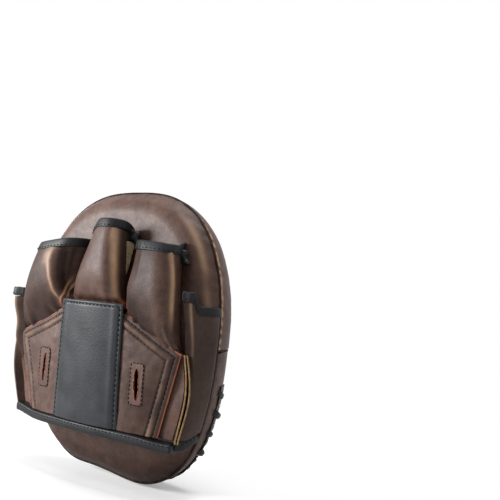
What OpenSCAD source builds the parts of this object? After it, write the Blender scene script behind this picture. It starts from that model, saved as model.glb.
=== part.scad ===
// Leather focus mitt: a curved, padded striking pad with an open-ended hand glove on its back.
// The origin lies on the pad's back face, in the middle of the hand pocket.
// +Z points to the finger end, +Y to the striking face, -Y to the glove.

/* [Pad] */
// Height of the pad
pad_height = 255; // [220:1:300]
// Width of the pad across its back seam
pad_width = 217; // [200:1:240]
// Height of the pad's widest line above its middle
widest_z = 13; // [5:1:20]
// Fullness of the finger end: 2 is an ellipse, more is squarer
top_fullness = 1.95; // [1.8:0.05:2.4]
// Fullness of the wrist end
bottom_fullness = 2.3; // [2:0.05:2.8]
// Fullness of the sides towards the finger end
top_side_fullness = 2.75; // [2.4:0.05:3.2]
// Fullness of the sides towards the wrist end
bottom_side_fullness = 3.4; // [2.8:0.05:4]
// Depth from the back face to the back seam
back_depth = 15; // [12:0.5:18]
// Depth from the back seam to the rim of the striking face
front_depth = 34; // [28:0.5:40]
// Width of the rounded border of the back
back_roll = 22; // [16:1:28]
// Width of the rounded border of the striking face
front_roll = 21; // [14:1:30]
// Rise of the striking face from its rim to its middle
face_dome = 2; // [0:0.5:5]
// Radius of the pad's lengthwise curve
curve_radius = 1140; // [900:10:2000]
// Height of the flattest line of that curve
curve_z = 45; // [20:1:60]

/* [Layers] */
// Thickness of the leather
leather = 1.8; // [1.2:0.1:2.2]
// Thickness of the stiffening board
board = 3; // [2:0.5:4]
// Thickness of the firm foam
core = 15; // [10:1:20]
// Air between two layers
layer_gap = 0.3; // [0.2:0.05:0.5]
// Air between a foam or the board and the leather around it
foam_gap = 0.75; // [0.6:0.05:0.9]
// Width of a seam's raised welt
welt = 1.6; // [1:0.1:2]
// Part of the front border's arc between the back seam and the face seam
face_seam = 0.62; // [0.4:0.02:0.8]
// Lowest angle of the face seam above the widest line
face_seam_end = 6; // [0:1:20]

/* [Lacing] */
// Width of the lacing gusset as a part of the border's arc
lacing_width = 0.2; // [0.15:0.01:0.3]
// Part of the border's arc below the lacing gusset
lacing_start = 0.26; // [0.15:0.01:0.3]
// Angle below the widest line where the lacing begins
lacing_end = 24; // [15:1:35]
// Width of the lace
lace_width = 4; // [3:0.5:5]
// Radius of a rivet head
rivet = 1.1; // [0.8:0.1:1.4]
// Number of lace crossings
crossings = 17; // [9:2:21]

/* [Hand cover] */
// Room between the pad and the hand cover at its peak
pocket_depth = 15.5; // [12:0.5:24]
// Radius of the hand cover's arch from side to side
arch_radius = 590; // [300:10:1500]
// Tilt of the hand cover towards the pad at its hem
tilt = 3.6; // [0:0.1:6]
// Thickness of the hand cover's padding
padding = 2.5; // [1.5:0.5:4]
// Distance from the pad's side in to the hand cover's shoulder
cover_in = 15.5; // [12:0.5:24]
// Distance from the pad's side in to the hem's end
hem_in = 17.5; // [15:0.5:26]
// Height of the hand cover's shoulders
shoulder_z = -10; // [-20:1:0]
// Height of the hand cover's peak
peak_z = 25; // [15:1:35]
// Height of the hem's lower edge
hem_z = -86; // [-92:1:-78]
// Width of the binding along an edge
binding = 8; // [6:0.5:10]
// Half the width of the centre band at its top
band_half = 36; // [28:1:40]
// How much narrower the upper layer is at its hem, on each side
taper = 14; // [8:1:18]
// Width of the flange that joins the cover and its side wall
flange = 7; // [5:0.5:9]
// Height of the side wall's top edge
wall_z = 30; // [22:1:40]

/* [Slots] */
// Distance of a slot from the hand cover's side
slot_in = 38; // [34:1:42]
// Height of the middle of a slot
slot_z = -38; // [-46:1:-30]
// Length of a slot
slot_length = 24; // [18:1:28]
// Width of a slot
slot_width = 4; // [2:0.5:5]
// Length of a slot's facing
facing_length = 36; // [32:1:44]
// Width of a slot's facing
facing_width = 15; // [12:1:18]

/* [Finger stalls] */
// Height of the centre stall's top
centre_top = 99; // [92:1:108]
// Half the width of the centre stall at its base
centre_base_half = 27; // [24:1:32]
// Half the width of the centre stall at its top
centre_top_half = 15; // [13:1:20]
// How far the centre stall's crown stands off the pad at its top
centre_rise = 28; // [22:1:32]
// How much the middle of a stall bulges over its two ends
bulge = 7; // [0:1:10]
// Roundness of a stall: 1 is pointed, 0.5 is nearly square
roundness = 0.62; // [0.5:0.02:0.9]
// Height of an outer stall's top at its inner end
outer_top = 80; // [72:1:88]
// Drop of an outer stall's top from its inner to its outer end
outer_drop = 8; // [0:1:12]
// Distance from the pad's side in to an outer stall's top
stall_in = 26; // [18:0.5:30]
// How far an outer stall's crown stands off the pad at its top
outer_rise = 27; // [20:1:30]
// Air between two stalls, and between a stall and the cover
stall_gap = 0.7; // [0.4:0.1:1.5]

/* [Hidden] */

steps = 56;                        // points around the pad
half_w = pad_width / 2;
half_h = pad_height / 2;
foam_skin = leather + foam_gap;    // how deep the foams lie under the pad's surface
face_y = back_depth + front_depth; // depth of the striking face's rim
step = 360 / steps;
seam_edge = 0.02;                  // how far the panels stop short of the back seam, along the section
seam_gap = layer_gap / front_depth;
trim = 1.2;                        // thickness of bindings' outer folds, facings, lining and lace
lace_low = 2 * layer_gap + trim;   // height of the lace over the pad's surface
cover_half = half_w - cover_in;    // half the hand cover's width at its shoulders and at its hem
hem_half = half_w - hem_in;
slot_x = cover_half - slot_in;
outer_half = half_w - stall_in;    // outer side of an outer stall at its top
body_low = pocket_depth;           // heights of the glove's layers above the cover's arch
padding_low = body_low + leather + layer_gap;
cover_low = padding_low + padding + layer_gap;
top_low = cover_low + leather + layer_gap;
stack = top_low + leather;         // height of the centre band's surface
hem_top = hem_z + binding + layer_gap;
corner_x = band_half + 3;          // where the hand cover's slopes begin, beside the band
corner_z = peak_z - 8;
foot_in = 0.9;                     // how far a side wall's foot lies inside the back seam
foot_drop = 2;                     // and how far behind it
wall_lean = 4;                     // how far the wall's top leans out past the cover
wall_dip = 5;                      // how far the wall's rim dips towards the pad at its top
centre_base = peak_z + stall_gap;
outer_inner = centre_top_half + 13; // inner side of an outer stall at its top
centre_share = 1 - binding / (centre_top - centre_base);
outer_share = 1 - binding / (outer_top - corner_z);
BROWN = [0.36, 0.25, 0.21];
DARK_BROWN = [0.30, 0.20, 0.17];
TAN = [0.66, 0.42, 0.24];
BLACK = [0.07, 0.07, 0.08];
FOAM = [0.30, 0.30, 0.32];

// ---- The pad's shape ----

// Fullness of the sides and the end, and the reach from the widest line, at angle a
function side_power(a) = sin(a) > 0 ? top_side_fullness : bottom_side_fullness;
function end_power(a) = sin(a) > 0 ? top_fullness : bottom_fullness;
function reach(a) = sin(a) > 0 ? half_h - widest_z : half_h + widest_z;

// How far the outline reaches from the middle of its widest line at angle a, found by halving
function outline_reach(a, low = 0, high = 2 * half_h, n = 22) =
    let (r = (low + high) / 2)
    n == 0 ? r :
    pow(abs(r * cos(a)) / half_w, side_power(a)) + pow(abs(r * sin(a)) / reach(a), end_power(a)) < 1
        ? outline_reach(a, r, high, n - 1) : outline_reach(a, low, r, n - 1);

// Outline of the back seam at angle a, seen from the glove: [x, z]
function outline(a) = let (r = outline_reach(a)) [r * cos(a), widest_z + r * sin(a)];

// The lengthwise curve of the pad
function bend(z) = pow(z - curve_z, 2) / (2 * curve_radius);

// Section of the pad's border, d under its surface: [inset, depth].
// s runs from -2 in the middle of the back over 0 at the back seam to 2 in the middle of the face.
function section(s, d) =
    s < -1 ? [back_roll - (s + 1) * (half_w - back_roll) * 0.98, d] :
    s < 0 ? [d - (back_roll - d) * s, d + (back_depth - d) * pow(1 + s, 2.2)] :
    s < 1 ? [d + (front_roll - d) * (1 - cos(90 * s)), back_depth + (front_depth - d) * sin(90 * s)] :
    [front_roll + (s - 1) * (half_w - front_roll) * 0.98,
     face_y - d + face_dome * (1 - pow(2 - s, 2))];

// A point of the pad: angle a around it, place s along its section, d under its surface
function pad_point(a, s, d) =
    let (o = outline(a), p = section(s, d), x = o[0] * (1 - p[0] / half_w), z = o[1] * (1 - p[0] / half_h))
    [x, p[1] + bend(z), z];

// Angles of the points around the pad, closer together where the face seam ends
around = [for (i = [0 : steps - 1])
    each (i == 0 || i == steps / 2 - 1 ? [for (k = [0 : 3]) (i + k / 4) * step] : [i * step])];

function ring(s, d) = [for (a = around) pad_point(a, s, d)];

// Half the pad's width at height z
function half_width(z) =
    let (up = z > widest_z,
         t = abs(z - widest_z) / (up ? half_h - widest_z : half_h + widest_z))
    half_w * pow(1 - pow(t, up ? top_fullness : bottom_fullness),
                 1 / (up ? top_side_fullness : bottom_side_fullness));

// ---- Solids from rows of points ----

function middle(points) = [for (k = [0 : 2]) [for (p = points) p[k]] * [for (p = points) 1] / len(points)];

// A solid through rings with equally many points. fan closes each end to its middle point;
// without it, each ring is two rows of points, there and back, and an end is closed between them.
module loft(rings, fan = false) {
    n = len(rings[0]);
    last = len(rings) - 1;
    body = [for (r = rings) each r];
    middles = fan ? [middle(rings[0]), middle(rings[last])] : [];
    sides = [for (j = [0 : last - 1], i = [0 : n - 1]) let (k = (i + 1) % n)
        each [[j * n + i, j * n + k, (j + 1) * n + k], [j * n + i, (j + 1) * n + k, (j + 1) * n + i]]];
    ends = fan
        ? [for (i = [0 : n - 1]) let (k = (i + 1) % n)
            each [[k, i, len(body)], [last * n + i, last * n + k, len(body) + 1]]]
        : [for (i = [0 : n / 2 - 2]) let (f = last * n)
            each [[i + 1, i, n - 1 - i], [i + 1, n - 1 - i, n - 2 - i],
                  [f + i, f + i + 1, f + n - 1 - i], [f + i + 1, f + n - 2 - i, f + n - 1 - i]]];
    polyhedron(points = concat(body, middles), faces = concat(sides, ends), convexity = 6);
}

// A strip on the pad from angle a1 to a2, between the depths d1 and d2.
// low and high give the strip's two edges along the section for each angle.
module strip(angles, low, high, d1, d2, cells = 3) {
    loft([for (j = [0 : len(angles) - 1]) let (a = angles[j])
        concat([for (k = [0 : cells]) pad_point(a, low[j] + (high[j] - low[j]) * k / cells, d1)],
               [for (k = [cells : -1 : 0]) pad_point(a, low[j] + (high[j] - low[j]) * k / cells, d2)])]);
}

module both_sides(side) { if (side > 0) children(); else mirror([1, 0, 0]) children(); }

// Height of an outer stall's base at x, along the cover's slope
function slope(x) = corner_z + (shoulder_z - corner_z) * (x - corner_x) / (cover_half - corner_x) + 1.2 * stall_gap;

// ---- Pad ----

// The place along the section where the striking face's leather begins at angle a
function upper(a) = let (up = a > 180 ? a - 360 : a) up > 90 ? 180 - up : up;
function seam_share(a) = min(1, max(0, (upper(a) - face_seam_end) / step + 1));
function face_edge(a) = seam_edge + (face_seam - seam_edge) * seam_share(a);
border = [for (k = [0 : 5]) k / 5];    // shares of the border's arc, outside to inside
centre = [1.3, 1.6, 1.8, 2];           // places in the middle of a face

// A solid between the places s_back and s_face, d under the surface
module padding_solid(places, d) { loft([for (s = places) ring(s, d)], fan = true); }

module foam_core() {
    color(FOAM) intersection() {
        padding_solid([-2, -1.6, -1.3, -1, -0.75, -0.5, -0.25, 0, 0.25, 0.5], foam_skin);
        bent_slab(-foam_skin - board - core - layer_gap, -foam_skin - board - layer_gap);
    }
}

module strike_foam() {
    color(FOAM) difference() {
        padding_solid([0, 0.2, 0.4, 0.6, 0.8, 1, 1.3, 1.6, 2], foam_skin);
        bent_slab(-foam_skin - board - core - 2 * layer_gap, 10);
    }
}

// The board is a plate cut to the pad's outline, well inside its rounded border
module back_board() {
    color(BLACK) pad_layer([for (p = ring(-0.8, foam_skin)) [p[0], p[2]]], -foam_skin - board, -foam_skin);
}

module back_panel() {
    places = [-2, -1.8, -1.6, -1.3, -1, -0.75, -0.5, -0.25, -seam_edge];
    color(BROWN) loft(concat([for (s = places) ring(s, 0)],
                             [for (k = [len(places) - 1 : -1 : 0]) ring(places[k], leather)]), fan = true);
}

// Ring of the striking face's leather: share k of the border's arc, or a place in the middle
function face_ring(k, d) = [for (a = around) let (e = face_edge(a)) pad_point(a, k <= 1 ? e + (1 - e) * k : k, d)];

module face_panel() {
    rings = concat([for (k = [len(centre) - 1 : -1 : 0]) centre[k]], [for (k = [5 : -1 : 0]) border[k]]);
    color(BROWN) loft(concat([for (k = rings) face_ring(k, leather)],
                             [for (k = [len(rings) - 1 : -1 : 0]) face_ring(rings[k], 0)]), fan = true);
}

module top_gusset() {
    angles = [for (a = around) if (a <= 180 && seam_share(a) > 0.05) a];
    color(BROWN) strip(angles, [for (a = angles) seam_edge], [for (a = angles) face_edge(a) - seam_gap],
                       0, leather, 4);
}

lacing_angles = [for (k = [0 : 44]) -lacing_end - (180 - 2 * lacing_end) * k / 44];
lacing_top = lacing_start + lacing_width;

module lacing_gusset() {
    color(BLACK) strip(lacing_angles, [for (a = lacing_angles) lacing_start],
                       [for (a = lacing_angles) lacing_top], -layer_gap - trim, -layer_gap);
}

// Angle of the middle of the k-th of n places along the lacing
function lacing_angle(k, n) = -lacing_end - (180 - 2 * lacing_end) * (k + 0.5) / n;

module lace() {
    turn = lace_width / half_w * 90 / PI;
    color(BLACK) for (k = [0 : crossings - 1]) {
        a = lacing_angle(k, crossings);
        loft([for (j = [0 : 3]) let (s = lacing_start - 0.04 + (lacing_width + 0.08) * j / 3, m = a + 1.5 - j)
            [pad_point(m - turn, s, -lace_low), pad_point(m + turn, s, -lace_low),
             pad_point(m + turn, s, -lace_low - trim), pad_point(m - turn, s, -lace_low - trim)]]);
    }
}

module lace_rivets() {
    color([0.8, 0.78, 0.72]) for (k = [0 : crossings - 2])
        translate(pad_point((lacing_angle(k, crossings) + lacing_angle(k + 1, crossings)) / 2,
                            lacing_start + lacing_width / 2, -lace_low - rivet)) sphere(r = rivet, $fn = 24);
}

// A round welt along the pad at angles, at the places places
module welt_cord(angles, places) {
    d = -welt / 2 - layer_gap;
    loft([for (j = [0 : len(angles) - 1]) let (p = pad_point(angles[j], places[j], d), a = angles[j],
                                               out = [cos(a), 0, sin(a)])
        [for (t = [0 : 60 : 300]) p + welt / 2 * (cos(t) * out + sin(t) * [0, 1, 0])]], fan = true);
}

module back_seam_welt() {
    turns = [for (i = [0 : 2 * steps]) 90 + (360 - 0.3) * i / (2 * steps)];
    color(TAN) welt_cord(turns, [for (a = turns) 0]);
}

module face_seam_welt() {
    turns = [for (i = [0 : steps]) face_seam_end + 1 + (178 - 2 * face_seam_end) * i / steps];
    color(TAN) welt_cord(turns, [for (a = turns) face_seam]);
}

// ---- Glove ----

// A slab that follows the pad's lengthwise curve, between two heights above its back
module bent_slab(low, high) {
    translate([-half_w, curve_radius, curve_z]) rotate([0, 90, 0]) difference() {
        cylinder(r = curve_radius + high, h = pad_width, $fn = 1440);
        translate([0, 0, -1]) cylinder(r = curve_radius + low, h = pad_width + 2, $fn = 1440);
    }
}

// A slab that follows the hand cover's arch and tilt, between two heights above it.
// At height 0 it touches the pad's back face under the cover's peak.
module arched_slab(low, high) {
    translate([0, 0, peak_z]) rotate([tilt, 0, 0]) translate([0, arch_radius, -pad_height]) difference() {
        cylinder(r = arch_radius + high, h = 2 * pad_height, $fn = 720);
        translate([0, 0, -1]) cylinder(r = arch_radius + low, h = 2 * pad_height + 2, $fn = 720);
    }
}

// Depth of that arch at [x, z], at a height above it
function cover_depth(x, z, height) =
    (arch_radius - sqrt(pow(arch_radius + height, 2) - x * x)) / cos(tilt) + (peak_z - z) * tan(tilt);

// A plate with an outline seen from the glove
module outlined(points) {
    intersection() {
        translate([0, half_h, 0]) rotate([90, 0, 0]) linear_extrude(height = pad_height) polygon(points);
        children();
    }
}

// A layer that follows the pad's back, and a layer of the hand cover
module pad_layer(points, low, high) { outlined(points) bent_slab(low, high); }
module layer(points, low, high) { outlined(points) arched_slab(low, high); }

// Half the glove's width at height z
function cover_x(z) = cover_half + (hem_half - cover_half) * (z - shoulder_z) / (hem_z - shoulder_z);

// Outline of the cover: both halves, drawn in by edge at the sides and slopes and by narrow at the hem
function cover_outline(edge, narrow, foot) =
    let (right = [[hem_half - narrow - edge, foot],
                  [cover_half - edge, shoulder_z - edge],
                  [corner_x - edge, corner_z - edge / 2]])
    concat(right, [for (k = [2 : -1 : 0]) [-right[k][0], right[k][1]]]);

module palm_lining() {
    color(BLACK) pad_layer(cover_outline(8, 0, hem_z + binding), layer_gap, layer_gap + trim);
}

module cover_body() {
    color(DARK_BROWN) layer(cover_outline(layer_gap, 0, hem_top), body_low, body_low + leather);
}

module cover_padding() {
    color(FOAM) layer(cover_outline(6, taper, hem_top), padding_low, padding_low + padding);
}

module slots(low, high, grow = 0) {
    for (side = [-1, 1]) layer([for (c = [[-1, -1], [1, -1], [1, 1], [-1, 1]])
        [side * slot_x + c[0] * (slot_width / 2 + grow), slot_z + c[1] * (slot_length / 2 + grow)]], low, high);
}

module hand_cover() {
    color(BROWN) difference() {
        layer(cover_outline(layer_gap, taper, hem_top), cover_low, cover_low + leather);
        slots(cover_low - 1, cover_low + leather + 1);
    }
}

module slot_facing(side) {
    color(DARK_BROWN) difference() {
        layer([for (c = [[-1, -1], [1, -1], [1, 1], [-1, 1]])
            [side * slot_x + c[0] * facing_width / 2, slot_z + c[1] * facing_length / 2]], top_low, top_low + trim);
        slots(top_low - 1, top_low + trim + 1);
    }
}
module left_slot_facing() { slot_facing(-1); }
module right_slot_facing() { slot_facing(1); }

module centre_band() {
    color(BLACK) layer([[-band_half - 2, hem_top], [band_half + 2, hem_top], [band_half, peak_z],
                        [-band_half, peak_z]], top_low, top_low + leather);
}

module hem_binding() {
    x = hem_half - layer_gap;
    color(BLACK) layer([[-x, hem_z], [x, hem_z], [x, hem_z + binding], [-x, hem_z + binding]],
                       body_low - trim, stack + trim);
}

// Section of a side wall at height z, from its foot at the back seam to its rim.
// out moves it outwards, and in_foot moves only the free part.
function wall_row(z, out, free_out) = let (w = half_width(z), b = bend(z),
        past = max(0, (z - shoulder_z) / (wall_z - shoulder_z)),
        rim = cover_x(min(z, shoulder_z)) + wall_lean * past,
        top = cover_depth(rim, z, body_low - layer_gap) + wall_dip * past)
    [[w - foot_in + out, back_depth - foot_drop + b, z],
     [w - foot_in - 0.6 + free_out, b, z],
     [rim + 1 + free_out, b + (top - b) * 0.7, z],
     [rim + free_out, top, z]];

module wall(low, high, count, thin, thick) {
    loft([for (j = [0 : count]) let (z = low + (high - low) * j / count,
            outer = wall_row(z, thick, thick), inner = wall_row(z, 0, thin))
        concat(outer, [for (k = [3 : -1 : 0]) inner[k]])]);
}
module side_wall(side) { color(BROWN) both_sides(side) wall(hem_top, wall_z - binding, 10, 0, leather); }
module wall_binding(side) {
    color(BLACK) both_sides(side) wall(wall_z - binding, wall_z, 2, -trim, leather + trim);
}
module wall_hem(side) {
    color(BLACK) both_sides(side) wall(hem_z + 0.2 * binding, hem_top, 2, 0, leather + trim);
}
module left_wall() { side_wall(-1); }
module right_wall() { side_wall(1); }
module left_wall_binding() { wall_binding(-1); }
module right_wall_binding() { wall_binding(1); }
module left_wall_hem() { wall_hem(-1); }
module right_wall_hem() { wall_hem(1); }

// The two raw edges that stand up where the cover meets its side wall
module flange_pair(side) {
    color(TAN) both_sides(side) for (k = [0, 1]) {
        x = k * (leather + layer_gap);
        layer([[cover_x(hem_top) + x, hem_top], [cover_x(hem_top) + x + leather, hem_top],
               [cover_half + x + leather, shoulder_z], [cover_half + x, shoulder_z]],
              body_low, body_low + flange + k);
    }
}
module left_flange() { flange_pair(-1); }
module right_flange() { flange_pair(1); }

// ---- Finger stalls ----

// Depth of the pad's back surface at [x, z]
function back_surface(x, z) = bend(z)
    + back_depth * pow(max(0, 1 - max(0, half_width(z) - abs(x)) / back_roll), 2.2);

// One row of a stall: an arch from its inner foot at x1 to its outer foot at x2.
// line(x) gives the row's height. grow thickens the arch.
function arch(x1, x2, z1, z2, rise, grow) =
    [for (t = [180 : -15 : 0]) let (c = cos(t), s = sin(t),
            u = sign(c) * pow(abs(c), roundness), h = pow(s, roundness),
            x = (x1 + x2) / 2 + u * ((x2 - x1) / 2 + grow), f = (x - x1) / (x2 - x1),
            z = z1 + (z2 - z1) * f,
            foot = back_surface(x1, z1) + (back_surface(x2, z2) - back_surface(x1, z1)) * min(1, max(0, f)))
        [x, foot - layer_gap - h * (rise - layer_gap + grow), z]];

// A wall between two arches: rows holds [x1, x2, z1, z2, rise] for each row
module stall_shell(rows, inner, outer) {
    loft([for (r = rows) let (out = arch(r[0], r[1], r[2], r[3], r[4], outer),
                              hollow = arch(r[0], r[1], r[2], r[3], r[4], inner))
        concat(out, [for (k = [len(hollow) - 1 : -1 : 0]) hollow[k]])]);
}

function mix(a, b, f) = a + (b - a) * f;

// Share of the bulge at the share f of a stall's length: most a third of the way up
function swell(f) = sin(180 * pow(max(0, f), 0.7));

// How far the hand cover's surface stands off the pad at x, on the outer stall's base
function base_rise(x) = back_surface(x, slope(x)) - cover_depth(x, slope(x), stack);

// Rows of the centre stall and of the right stall at the share f of their length
function centre_row(f) = let (z = mix(centre_base, centre_top, f), w = mix(centre_base_half, centre_top_half, f))
    [-w, w, z, z, mix(stack, centre_rise, f) + bulge * swell(f)];
function outer_row(f) = [
    mix(corner_x - 1, outer_inner, f), mix(cover_half - 1, outer_half, f),
    mix(slope(corner_x - 1), outer_top, f), mix(slope(cover_half - 1), outer_top - outer_drop, f),
    mix(base_rise((corner_x + cover_half) / 2), outer_rise, f) + bulge * swell(f)];

module centre_stall() { color(BROWN) stall_shell([for (k = [0 : 6]) centre_row(k / 6 * centre_share)], -leather, 0); }
module centre_stall_binding() {
    color(BLACK) stall_shell([centre_row(centre_share), centre_row(1)], -leather - trim, trim);
}
module outer_stall(side) {
    color(BROWN) both_sides(side) stall_shell([for (k = [0 : 6]) outer_row(k / 6 * outer_share)], -leather, 0);
}
module outer_stall_binding(side) {
    color(BLACK) both_sides(side) stall_shell([outer_row(outer_share), outer_row(1)], -leather - trim, trim);
}
module left_stall() { outer_stall(-1); }
module right_stall() { outer_stall(1); }
module left_stall_binding() { outer_stall_binding(-1); }
module right_stall_binding() { outer_stall_binding(1); }

foam_core();
strike_foam();
back_board();
back_panel();
face_panel();
top_gusset();
lacing_gusset();
lace();
lace_rivets();
back_seam_welt();
face_seam_welt();
palm_lining();
left_wall();
right_wall();
left_wall_binding();
right_wall_binding();
left_wall_hem();
right_wall_hem();
left_flange();
right_flange();
cover_body();
cover_padding();
hand_cover();
left_slot_facing();
right_slot_facing();
centre_band();
hem_binding();
centre_stall();
centre_stall_binding();
left_stall();
left_stall_binding();
right_stall();
right_stall_binding();
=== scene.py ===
import math

import bpy
import numpy as np
from mathutils import Matrix, Vector


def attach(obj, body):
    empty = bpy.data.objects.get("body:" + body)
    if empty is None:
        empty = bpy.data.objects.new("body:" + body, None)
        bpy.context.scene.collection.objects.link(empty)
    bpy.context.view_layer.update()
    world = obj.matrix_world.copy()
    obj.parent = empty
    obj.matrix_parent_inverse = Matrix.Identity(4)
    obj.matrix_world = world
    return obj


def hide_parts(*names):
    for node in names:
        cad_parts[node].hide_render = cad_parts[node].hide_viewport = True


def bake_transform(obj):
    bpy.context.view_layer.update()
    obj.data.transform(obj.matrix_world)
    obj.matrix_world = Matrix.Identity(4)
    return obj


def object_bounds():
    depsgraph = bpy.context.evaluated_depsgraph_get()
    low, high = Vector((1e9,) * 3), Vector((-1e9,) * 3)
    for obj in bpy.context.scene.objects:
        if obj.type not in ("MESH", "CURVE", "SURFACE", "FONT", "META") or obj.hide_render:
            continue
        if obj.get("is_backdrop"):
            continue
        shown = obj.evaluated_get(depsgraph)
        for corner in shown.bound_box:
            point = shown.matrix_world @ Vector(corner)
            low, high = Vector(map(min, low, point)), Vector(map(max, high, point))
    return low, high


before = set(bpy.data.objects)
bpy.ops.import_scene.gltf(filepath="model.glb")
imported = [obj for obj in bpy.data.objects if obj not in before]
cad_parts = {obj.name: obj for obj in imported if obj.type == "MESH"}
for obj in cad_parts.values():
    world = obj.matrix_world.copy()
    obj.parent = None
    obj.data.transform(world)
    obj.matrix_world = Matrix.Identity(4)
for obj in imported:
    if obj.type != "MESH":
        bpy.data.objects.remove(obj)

cad_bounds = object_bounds()


# ---- Camera ----
# A 49 mm lens 0.6 m from the glove side, 33 degrees to its right and a little below its middle.
# It leans by 6 degrees, so that the mitt leans in the frame.
azimuth, elevation, roll = (math.radians(angle) for angle in (33.0, -5.53, 6.14))
aside, above, distance = 0.12534, 0.07138, 0.59333      # from the origin, along right, up and back
lens_share = 1.3492                                     # focal length over the sensor's width
back = Vector((math.sin(azimuth) * math.cos(elevation), -math.cos(azimuth) * math.cos(elevation),
               math.sin(elevation)))
level = Vector((math.cos(azimuth), math.sin(azimuth), 0))
plumb = back.cross(level)
right = math.cos(roll) * level + math.sin(roll) * plumb
up = math.cos(roll) * plumb - math.sin(roll) * level
camera = bpy.data.objects.new("camera", bpy.data.cameras.new("camera"))
camera.data.lens = lens_share * camera.data.sensor_width
camera.data.clip_start = 0.01
camera.matrix_world = Matrix((right, up, back)).transposed().to_4x4()
camera.location = aside * right + above * up + distance * back
bpy.context.collection.objects.link(camera)
bpy.context.scene.camera = camera
bpy.context.scene.view_settings.view_transform = "Standard"


# ---- Studio ----
# A white paper sweep under the wrist end and three soft boxes: a key at the left of the glove, and
# weaker ones overhead and behind. What is seen round the mitt is white, and the paper fades into it.
def linear(code):
    """Linear colour of an sRGB hex code, with full alpha."""
    part = np.array([int(code[i:i + 2], 16) / 255 for i in (1, 3, 5)])
    return (*np.where(part > 0.04045, ((part + 0.055) / 1.055) ** 2.4, part / 12.92), 1.0)


def add(tree, kind, inputs={}, **settings):
    """A node with its settings. Each input takes a plain value or the socket that feeds it."""
    node = tree.nodes.new(kind)
    for name, value in settings.items():
        setattr(node, name, value)
    for name, value in inputs.items():
        if isinstance(value, bpy.types.NodeSocket):
            tree.links.new(value, node.inputs[name])
        else:
            node.inputs[name].default_value = value
    return node


def new_material(name):
    """A material with an empty tree, the tree, and the Object coordinates that its patterns read."""
    material = bpy.data.materials.new(name)
    material.use_nodes = True
    tree = material.node_tree
    tree.nodes.clear()
    return material, tree, add(tree, "ShaderNodeTexCoord").outputs["Object"]


studio = bpy.data.worlds.new("studio")
studio.use_nodes = True
bpy.context.scene.world = studio
tree = studio.node_tree
tree.nodes.clear()
ray = add(tree, "ShaderNodeLightPath")
seen = add(tree, "ShaderNodeMath", {0: ray.outputs["Is Camera Ray"], 1: ray.outputs["Is Glossy Ray"]},
           operation="MAXIMUM")
seen = add(tree, "ShaderNodeMath", {0: seen.outputs[0], 1: ray.outputs["Is Transmission Ray"]},
           operation="MAXIMUM")
fill_light = add(tree, "ShaderNodeBackground", {"Color": linear("#f4f6fa"), "Strength": 0.30})
white_light = add(tree, "ShaderNodeBackground", {"Color": (1, 1, 1, 1), "Strength": 1.0})
sky = add(tree, "ShaderNodeMixShader", {0: seen.outputs[0], 1: fill_light.outputs[0],
                                        2: white_light.outputs[0]})
add(tree, "ShaderNodeOutputWorld", {"Surface": sky.outputs[0]})

middle = (cad_bounds[0] + cad_bounds[1]) / 2
for name, place, size, power in (("key", (-0.88, -0.88, 0.26), 0.50, 26),
                                 ("top", (0.15, 0.05, 1.30), 0.80, 11),
                                 ("behind", (-1.00, 0.85, 0.15), 0.70, 6)):
    lamp = bpy.data.objects.new(name, bpy.data.lights.new(name, "AREA"))
    lamp.data.shape, lamp.data.size, lamp.data.energy = "DISK", size, power
    lamp.location = place
    lamp.rotation_euler = (Vector(place) - middle).to_track_quat("Z", "Y").to_euler()
    bpy.context.collection.objects.link(lamp)

half_sweep, floor_z = 6.0, cad_bounds[0].z - 0.0005
corners = [(x * half_sweep, y * half_sweep, floor_z) for x, y in ((-1, -1), (1, -1), (1, 1), (-1, 1))]
sweep_mesh = bpy.data.meshes.new("sweep")
sweep_mesh.from_pydata(corners, [], [(0, 1, 2, 3)])
sweep = bpy.data.objects.new("sweep", sweep_mesh)
bpy.context.collection.objects.link(sweep)
paper, tree, place = new_material("white paper sweep")
ray = add(tree, "ShaderNodeLightPath")
lit = add(tree, "ShaderNodeBsdfDiffuse", {"Color": linear("#f4f4f4")})
glow = add(tree, "ShaderNodeEmission", {"Color": (1, 1, 1, 1), "Strength": 0.26})
both = add(tree, "ShaderNodeAddShader", {0: lit.outputs[0], 1: glow.outputs[0]})
seen_paper = add(tree, "ShaderNodeMixShader", {0: ray.outputs["Is Camera Ray"], 1: lit.outputs[0],
                                               2: both.outputs[0]})
away = add(tree, "ShaderNodeVectorMath", {0: place, 1: (0, 0, floor_z)}, operation="DISTANCE")
fade = add(tree, "ShaderNodeMapRange", {"Value": away.outputs["Value"], "From Min": 0.16, "From Max": 0.42},
           interpolation_type="SMOOTHSTEP").outputs[0]
clear = add(tree, "ShaderNodeBsdfTransparent")
paper_look = add(tree, "ShaderNodeMixShader", {0: fade, 1: seen_paper.outputs[0], 2: clear.outputs[0]})
add(tree, "ShaderNodeOutputMaterial", {"Surface": paper_look.outputs[0]})
sweep_mesh.materials.append(paper)
sweep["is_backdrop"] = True


# ---- Pad: back panel ----
# The back of the striking pad: one piece of distressed brown pull-up leather, drawn over a board
# and foam and sewn in at the back seam, where it rolls over softly and puckers.
leather = 0.0018                                        # thickness of the hide
half_width, half_height, widest = 0.1085, 0.1275, 0.013  # widest is the height of the widest line
back_roll, front_roll = 0.022, 0.021                    # how far in the border is rounded
back_depth, front_depth, dome = 0.015, 0.034, 0.002     # back to seam, seam to face, rise of the face
side_power, end_power = (2.75, 3.4), (1.95, 2.3)        # of the outline: finger end, wrist end


def bend(z):
    """Lengthwise curve of the pad: a parabola, flattest at the finger end."""
    return (z - 0.045) ** 2 / (2 * 1.14)


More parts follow.
